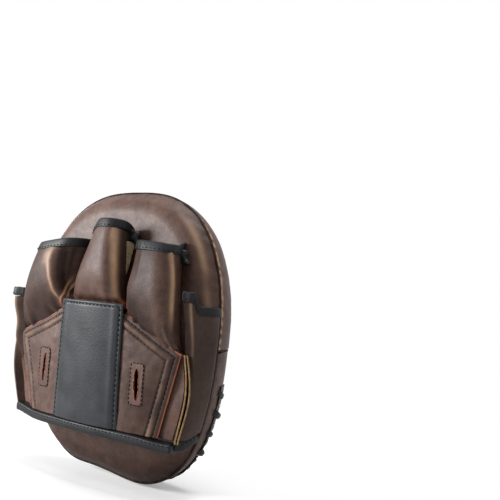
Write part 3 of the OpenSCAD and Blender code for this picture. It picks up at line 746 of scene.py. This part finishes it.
# ---- Centre band ----
# A plain band of smooth black leather down the middle of the glove, its edges turned under, with
# a rolled margin and a row of black stitches along its top and sides.
band_half, band_taper, crown, margin_row = 0.038, 0.002, 0.0036, 0.003
across, rise = np.meshgrid(np.linspace(-1, 1, 181), np.linspace(0, 1, 201), indexing="ij")
half = band_half - band_taper * rise
x, z = across * half, hem_top + rise * (peak - hem_top)
d = np.minimum(half * (1 - np.abs(across)), peak - z)
height = band_top - 0.0009 * np.exp(-d / 0.0010) - 0.0006 * bump(d, margin_row, 0.0008) \
    + 0.0005 * bump(half * (1 - np.abs(across)), 0.0075, 0.0030) + crown * (1 - across ** 2) \
    - 0.0010 * np.exp(-(z - hem_top) / 0.016)
points = arched(x, z, height)
band = surface("centre_band_leather", lifted(points, 0.0002 * relief(points, 0.03, 31)))
band_black = smooth_black("smooth black band leather", "#2d2f33", "#202225", 0.42)
skin(band, leather, band_black, black, black)
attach(band, "mitt")
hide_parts("centre_band")
for side, hand in ((-1, "left"), (1, "right"), (0, "top")):
    run = np.linspace(0, 1, 160)
    if side:
        bx = side * (band_half - band_taper * run - margin_row)
        bz = hem_top + 0.001 + run * (peak - margin_row - 0.001 - hem_top)
    else:
        bx = (2 * run - 1) * (band_half - band_taper - margin_row)
        bz = np.full(160, peak - margin_row)
    path = arched(bx, bz, band_top - 0.0004 + crown * (1 - (bx / 0.0375) ** 2))
    row = stitches(f"band_{hand}_stitches", path, outwards(bx))
    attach(row, "mitt")


# ---- Bindings of the glove ----
# Strips of the same black leather as the lace, folded over the raw edges of the glove and sewn
# through near their inner side. The hem's is the thickest, because all the layers end in it.
binding_height, binding_half = 0.008, 0.0021


def binding(name, edge, inwards, out, height, half_thick, body, node):
    """A folded strip along an edge: a rounded box section that reaches in from the edge by height,
    with a row of stitches near its inner side."""
    inwards, out = unit(inwards), unit(out)
    strip = tube(name, edge + inwards * height / 2, inwards, out, height / 2, half_thick,
                 sides=28, power=0.45)
    skin(strip, 0, black)
    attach(strip, body)
    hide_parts(node)
    row = stitches(name + "_stitches", edge + inwards * (height - 0.0020) + out * (half_thick + 0.0001), out)
    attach(row, body)


hem_x = np.linspace(-0.0910, 0.0910, 200)
edge = arched(hem_x, np.full(200, hem_low), 0.0199)
edge[:, 1] += 0.0004 * relief(edge, 0.04, 41)
edge[:, 2] += 0.0035 * ease(-hem_x, 0.060, 0.091) - 0.0015 * bump(hem_x, 0.083, 0.018)
upwards = np.zeros_like(edge) + [0, -0.06, 1]
binding("hem_binding_leather", edge, upwards, outwards(hem_x), binding_height, 0.0054, "mitt",
        "hem_binding")


# ---- Side walls and flanges ----
# The lower layer is joined to two side walls with the raw edges turned outwards, so that two tan
# edges stand up in a bow. Each wall runs down to the back seam and has its ends bound in black.
wall_top = 0.030


def wall(z, share, out=0.0, pulled=0.0105):
    """Point of the right side wall: a Bezier curve from its foot at the back seam (share 0) to its
    rim at the glove's back (share 1). Past the shoulder the rim stands up round the stall beside
    it, and its end is pulled up. At the hem the foot is pulled up a little."""
    z, share = np.broadcast_arrays(z, share)
    past = ease(z, shoulder_z, wall_top)
    rim_x = flange_root(np.clip((z - hem_top) / (shoulder_z - hem_top), 0, 1)) - 0.0022 * past
    rim_y = arched(rim_x, z, 0.0152)[..., 1] - 0.0060 * past
    z = z + pulled * ease(share, 0.50, 0.68) * ease(z, shoulder_z, wall_top) \
        + 0.0060 * ease(1 - share, 0.2, 1.0) * ease(-z, 0.030, -hem_top)
    foot_x, foot_y = half_at(z) - 0.0009, 0.013 + bend(z)
    xs = (foot_x, foot_x + 0.002, rim_x + 0.006, rim_x)
    ys = (foot_y, foot_y * 0.35 + rim_y * 0.65 + 0.004, rim_y + 0.006, rim_y)
    weights = ((1 - share) ** 3, 3 * share * (1 - share) ** 2, 3 * share ** 2 * (1 - share), share ** 3)
    x, y = (sum(w * v for w, v in zip(weights, values)) for values in (xs, ys))
    return np.stack([x + out, y, z], -1)


def sided(name, points, side, **tones):
    """Surface of a right-hand grid, or of its mirror image with the faces still pointing out."""
    if side < 0:
        points = (points * [-1, 1, 1])[:, ::-1]
        tones = {tone: share[:, ::-1] for tone, share in tones.items()}
    return surface(name, points, **tones)


# The left wall is slack and bulges along most of its length; the right one is pulled up at its end.
tan_edge = cut_edge("tan cut edge", "#a98b62", "#7a6040")
for side, hand, pulled, slack, span, bulging in ((-1, "left", 0.001, 0.0130, 0.22, (-0.062, -0.004)),
                                                 (1, "right", 0.0105, 0.0022, 0.12, (-0.045, 0.020))):
    z, share = np.meshgrid(np.linspace(hem_top, 0.0225, 120), np.linspace(0, 1, 40), indexing="ij")
    points = wall(z, share, leather, pulled)
    fold = 0.0010 * relief(points, 0.030, 50) * ease(share, 0, 0.3) * ease(1 - share, 0, 0.2)
    points = lifted(points, fold + slack * bump(share, 0.76, span) * ease(z, *bulging))
    # Painted shade at the wall's rim and foot. The tan band near the rim is wear and, in part, a painted
    # highlight along the fold.
    piece = sided(f"{hand}_wall_leather", points, side,
                  wear=0.35 * bump(share, 0.80, 0.035) * ease(z, -0.03, 0.012),
                  shade=0.35 * bump(share, 1.0, 0.10) + 0.3 * bump(share, 0.0, 0.06))
    skin(piece, leather, shaded_brown, tan_edge, flesh)
    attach(piece, "mitt")
    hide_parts(f"{hand}_wall")

    for node, end, inward, bulged in (("wall_binding", wall_top, -1, 1), ("wall_hem", hem_low, 1, 0)):
        share = np.linspace(0, 1, 60)
        edge = wall(np.full(60, end), share, 0.0009, pulled)
        out = normals(wall(np.array([end, end + 0.001])[:, None], share[None]))[0]
        edge += out * (bulged * slack * bump(share, 0.76, span))[:, None]
        edge, out = edge * [side, 1, 1], out * [side, 1, 1]
        binding(f"{hand}_{node}_leather", edge, np.zeros_like(edge) + [0, 0, inward], out,
                binding_height, binding_half, "mitt", f"{hand}_{node}")

    for layer in (0, 1):
        run, rise = np.meshgrid(np.linspace(0, 1, 90), np.linspace(0, 1, 12), indexing="ij")
        z = hem_top - 0.002 + run * (shoulder_z + 0.002 - hem_top)
        part = 0.0002 + 0.0010 * np.sin(np.pi * run) * rise          # the edges gape a little
        x = flange_root(run) - 0.0004 + 0.0052 * rise + layer * (0.0017 + part)
        height = 0.0158 + (0.0074 - 0.0009 * layer) * rise * (0.75 + 0.25 * np.sin(np.pi * run) ** 0.5)
        points = arched(side * x, z, height) * [side, 1, 1]
        points[..., 0] += 0.0003 * relief(points, 0.02, 60 + layer) * rise
        # Painted shade darkens the right flanges at their root. The left ones are darker at their rim, and
        # worn.
        shade, wear = (1 - rise, 0 * run) if side > 0 else (rise, ease(run[::-1], 0.45, 0.9))
        flap = sided(f"{hand}_flange_{layer}", points[::-1], side, shade=0.3 * shade, wear=0.3 * wear)
        skin(flap, 0.0013, shaded_brown, tan_edge, shaded_brown)
        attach(flap, "mitt")
        if layer == 0:
            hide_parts(f"{hand}_flange")


# ---- Palm lining ----
# A layer of woven black lining cloth, glued flat on the pad's back where the palm rests. It is seen
# from the wrist end only.

# Plain-woven polyester: matt, with threads 2 mm apart, drawn coarser than real so that they show.
woven, tree, place = new_material("black woven lining")
warp, weft = (add(tree, "ShaderNodeTexWave", {"Vector": place, "Scale": 1 / 0.006, "Distortion": 0.4},
                  bands_direction=way).outputs[1] for way in "XZ")
weave = add(tree, "ShaderNodeMath", {0: warp, 1: weft}, operation="MULTIPLY").outputs[0]
tint = add(tree, "ShaderNodeMix", {0: weave, 6: linear("#141416"), 7: linear("#2c2c30")}, data_type="RGBA")
cloth = add(tree, "ShaderNodeBump", {"Height": weave, "Strength": 0.6, "Distance": 0.0004})
shader = add(tree, "ShaderNodeBsdfPrincipled", {"Base Color": tint.outputs[2], "Roughness": 0.9,
                                                "Normal": cloth.outputs[0]})
add(tree, "ShaderNodeOutputMaterial", {"Surface": shader.outputs[0]})
across, rise = np.meshgrid(np.linspace(-1, 1, 81), np.linspace(0, 1, 71), indexing="ij")
lining_low, lining_half = -0.078, 0.083
x = across * (lining_half + 0.002 * rise)
z = lining_low + rise * (slope_z(x) - 0.004 - lining_low)
y = bend(z) - 0.0015 - 0.0003 * (1 - np.maximum(np.abs(across), np.abs(2 * rise - 1)) ** 6)
lining = surface("palm_lining_cloth", np.stack([x, y, z], -1))
skin(lining, 0.0011, woven, woven, woven)
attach(lining, "mitt")
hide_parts("palm_lining")


# ---- Finger stalls ----
# Three open tubes of soft brown hide for the fingers, gathered in under the hand cover at their
# base and bound in black at their mouth. They bulge, fold, and are worn tan along the folds.
roundness, bulge = 0.62, 0.007


def back_surface(x, z):
    """Depth of the pad's back at x and z."""
    near = 1 - np.clip(half_at(z) - np.abs(x), 0, None) / back_roll
    return bend(z) + back_depth * np.clip(near, 0, 1) ** 2.2


def stall(x1, x2, z1, z2, rise, angle, power, tuck, drop=0.0, skew=0.0):
    """An arch over the pad from the inner foot (angle 180) to the outer foot (angle 0): a
    superellipse with a power, as wide as its feet are apart and standing off the pad by rise.
    tuck draws the outer foot in under the arch, and drop lowers both feet along the stall: the
    outer one only near the pad, the inner one from the crown on. skew slopes the front down from
    its outer corner to the inner one."""
    c, s = np.cos(np.radians(angle)), np.clip(np.sin(np.radians(angle)), 0, 1)
    u, h = np.sign(c) * np.abs(c) ** power, s ** power
    x = (x1 + x2) / 2 + u * (x2 - x1) / 2 - tuck * ease(u, 0, 0.8) * (1 - h) ** 1.5
    rise = rise * (1 - skew * np.clip((0.6 - u) / 1.6, 0, 1))
    share = (x - x1) / (x2 - x1)
    foot = back_surface(x1, z1) + (back_surface(x2, z2) - back_surface(x1, z1)) * share
    z = z1 + (z2 - z1) * share - drop * np.maximum(ease(angle, 90, 150), (1 - h) ** 3)
    return np.stack([x, foot - 0.0003 - h * (rise - 0.0003), z], -1)


def mix(a, b, share):
    """Value a at share 0, b at share 1 and in a straight line between."""
    return a + (b - a) * share


def swell(share):
    """Bulge along a stall: most a third of the way up."""
    return np.sin(np.pi * np.clip(share, 0, 1) ** 0.7)


def stall_base(x):
    """Height at which an outer stall's base starts: just above the hand cover's slope at x."""
    return corner_z - (corner_z - shoulder_z) * (x - corner) / (shoulder - corner) + 0.00084


def tucked(share):
    """How far a stall's base is gathered down and out as it goes under the hand cover."""
    return 0.0030 * np.exp(-np.clip(share, 0, 1) / 0.05) + 0.0020 * ease(-share, 0, 0.08)


def flared(share):
    """How far a stall's feet spread at its base."""
    return 0.0055 * np.exp(-np.clip(share, 0, 1) / 0.045)


def centre_stall(share, angle):
    """The centre stall: it narrows towards its mouth and grows rounder, its sides run in under its
    front, and its front slopes down to the left."""
    z = mix(0.0257, 0.097, share)
    x1, x2 = mix(-0.035, -0.0175, share) - flared(share), mix(0.0300, 0.0235, share) + 0.5 * flared(share)
    rise = mix(0.0243, 0.028, share) + bulge * swell(share) - tucked(share)
    return stall(x1, x2, z, z, rise, angle, mix(roundness, 0.85, ease(share, 0.2, 0.9)),
                 tuck=mix(0.011, 0.006, share), drop=0.009 * np.clip(share, 0, 1), skew=0.19)


def outer_stall(share, angle, lift=0.0, slack=0.0, inner=0.028, power=roundness):
    """An outer stall, on the right: from the slope of the hand cover to a mouth whose inner foot is
    at x inner and whose outer foot is raised by lift. slack moves its outer side outwards."""
    x1 = mix(0.0335, inner, share) - flared(share)
    x2 = mix(0.092 + 1.9 * slack, 0.0825, share) + slack * swell(share)
    z1, z2 = mix(stall_base(0.038), 0.080, share), mix(stall_base(0.092), 0.072 + lift, share)
    rise = mix(0.0203, 0.027, share) + bulge * swell(share) - tucked(share)
    return stall(x1, x2, z1, z2, rise, angle, power, tuck=0.010)


def right_stall(share, angle):
    """The right stall: firm, and rounder on its inner side towards the mouth."""
    rounder = ease(angle, 88, 110) * ease(share, 0.25, 0.8)
    return outer_stall(share, angle, lift=0.005, inner=0.0320, power=mix(roundness, 1.0, rounder))


def left_stall(share, angle):
    """The left stall, mirrored to the right: slack, so that its outer side hangs out."""
    return outer_stall(share, angle, slack=0.004)


def centre_folds(points, share, angle):
    """Relief, wear, shade and raw share of the centre stall: one worn ridge along its right side,
    painted shade past it, and a raw corner at its base."""
    ridge = np.interp(share, [0.09, 0.21, 0.39, 0.63, 0.81], [38, 37, 39, 45, 50])
    return (0.0006 * bump(angle, ridge, 8),
            bump(angle, ridge, 9) * ease(share, 0.0, 0.1) * (0.9 + 0.2 * relief(points, 0.012, 72)),
            0.45 * ease(ridge - angle, 5, 20),
            bump(angle, 32, 12) * bump(share, 0.0, 0.035))


def left_folds(points, share, angle):
    """Relief, wear, shade and raw share of the left stall: one long fold with a deep hollow between
    it and the centre stall, painted shade in that hollow and on the outer side, and two raw gathers
    that run out of the base."""
    fold = np.interp(share, [0.05, 0.16, 0.27, 0.47, 0.69, 0.83, 1], [134, 127, 116, 104, 94, 92, 92])
    within = ease(share, 0.10, 0.22) * ease(1 - share, 0.0, 0.22)
    gathers = bump(angle - 104 * share, 118, 5) + bump(angle - 104 * share, 132, 4)
    gathers = gathers * bump(share, 0.24, 0.13) * ease(angle, 122, 132)
    hollow = 0.0060 * ease(angle - fold, 4, 32) * ease(180 - angle, 0, 30)
    return ((0.0015 * bump(angle, fold, 6) - hollow) * within + 0.0022 * gathers,
            0.50 * bump(angle, fold, 2.8) * within + 0.6 * gathers,
            0.62 * ease(angle - fold, 4, 16) * within * (1 - 0.8 * np.clip(gathers, 0, 1))
            + 0.48 * ease(fold - angle, 2, 14),
            0.8 * bump(angle, 133, 7) * bump(share, 0.09, 0.05) + 0.25 * gathers)


def right_folds(points, share, angle):
    """Relief, wear, shade and raw share of the right stall: a worn ridge along its outer side, a
    dent low on its inner side, and two raw creases across that dent. Painted shade fills the dent,
    darkens the base and lies over the front, towards its inner side."""
    ridge = np.interp(share, [0.09, 0.28, 0.47, 0.61, 0.75, 0.89, 1], [36, 31, 28, 28, 33, 41, 45])
    creases = bump(angle + 60 * share, 158, 4) + bump(angle + 60 * share, 143, 4)
    creases = creases * bump(share, 0.12, 0.10) * ease(angle, 112, 125)
    dent = bump(angle, 148, 14) * bump(share, 0.20, 0.11)
    return (0.0010 * bump(angle, ridge, 8) - 0.0042 * dent + 0.0018 * creases,
            bump(angle, ridge, 7) * ease(share, 0.12, 0.45) * (0.9 + 0.2 * relief(points, 0.012, 73)),
            0.85 * bump(angle, 146, 15) * bump(share, 0.20, 0.10)
            + 0.25 * (1 - ease(share, 0.1, 0.5)) + 0.60 * bump(angle, 105, 34),
            0.9 * bump(angle, 150, 14) * bump(share, 0.02, 0.04) + 0.3 * creases)


angle, share = np.meshgrid(np.linspace(180, 0, 161), np.linspace(-0.06, 0.975, 125), indexing="ij")
gather = np.exp(-np.clip(share, 0, 1) / 0.09)
stalls = {          # shape, folds, side, depth of the gathers, seed, start and end of the bend
    "centre": (centre_stall, centre_folds, 1, 0.0003, 77, (0, -0.0240, 0.0250), (0, -0.0240, 0.0330)),
    "left": (left_stall, left_folds, -1, 0.0009, 75, (-0.062, -0.019, -0.003), (-0.0655, -0.019, 0.006)),
    "right": (right_stall, right_folds, 1, 0.0009, 76, (0.062, -0.019, -0.003), (0.0655, -0.019, 0.006)),
}
for hand, (shape, folds, side, gathered, seed, start, end) in stalls.items():
    points = shape(share, angle)
    puckers = gathered * gather * np.sin(np.radians(angle) * 17 + 2 * relief(points, 0.03, 70))
    amount, worn, dark, raw = folds(points, share, angle)
    points = lifted(points, puckers + 0.0005 * relief(points, 0.032, seed) + amount)
    stall_leather = sided(f"{hand}_stall_leather", points, side, wear=np.clip(worn, 0, 1),
                          shade=np.clip(dark, 0, 1), raw=np.clip(raw, 0, 1))
    skin(stall_leather, leather, brown, russet_edge, flesh)
    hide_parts(f"{hand}_stall")
    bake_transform(stall_leather)

    # The strip at the mouth is folded over its edge, and one end is knotted at its outer foot.
    round_it = np.linspace(180, 0, 121)
    mouth = np.stack([shape(np.full(121, 1.0), round_it), shape(np.full(121, 0.9), round_it)], 1)
    inwards = unit(mouth[:, 1] - mouth[:, 0])
    out = unit(np.cross(along(mouth[:, 0]), -inwards))
    edge = mouth[:, 0] - out * 0.0009
    edge, inwards, out = (v * [side, 1, 1] for v in (edge, inwards, out))
    binding(f"{hand}_stall_binding_leather", edge, inwards, out, 0.0085, binding_half,
            f"{hand}_finger_stall", f"{hand}_stall_binding")
    foot = edge[-1]
    run = np.linspace(0, 1, 40)
    curl = 0.0060 if hand == "centre" else 0.0           # the centre stall's knot curls upwards first
    tail = foot + [0, -0.0026, -0.5 * curl] + np.stack([
        side * (0.0070 + 0.6 * curl) * np.sin(1.9 * run),
        -0.001 * run - 0.0045 * np.sin(np.pi * run ** 0.7),
        curl * np.sin(np.pi * run ** 0.8) - 0.0150 * run], -1)
    thick = 0.0034 * (1 + 0.34 * np.sin(15 * run + 0.8)) * (1 - 0.75 * ease(run, 0.93, 1.0))
    knot = tube(f"{hand}_stall_knot", tail, unit(np.cross(along(tail), [0, 1, 0])),
                np.zeros_like(tail) + [0, 1, 0], thick * 1.25, thick * 0.8, sides=22, power=0.8)
    skin(knot, 0, black)
    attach(knot, f"{hand}_finger_stall")

# The free edge of the centre stall turns outwards below its knot and shows the hide's flesh side.
rise, across = np.meshgrid(np.linspace(0, 1, 60), np.linspace(0, 1, 14), indexing="ij")
z = mix(0.0790, 0.0350, rise)
taper = ease(rise, -0.1, 0.12) * (1 - rise) ** 0.8
x = mix(0.0195, 0.0180, rise) + 0.0074 * across * taper
y = back_surface(x, z) - 0.0130 + 0.0050 * across
free_edge = np.stack([x, y, z + 0.0012 * np.sin(22 * rise) * across], -1)
free_edge[..., 0] += 0.0006 * relief(free_edge, 0.007, 80) * across
flap = surface("centre_stall_free_edge", free_edge)
suede = cut_edge("pale flesh side of the hide", "#b09a7a", "#857158")
skin(flap, 0.0014, suede, suede, flesh)
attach(flap, "centre_finger_stall")


# ---- Sizes ----
# The lowest and highest corners of the CAD model's box and of the finished mitt's, in metres.
low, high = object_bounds()
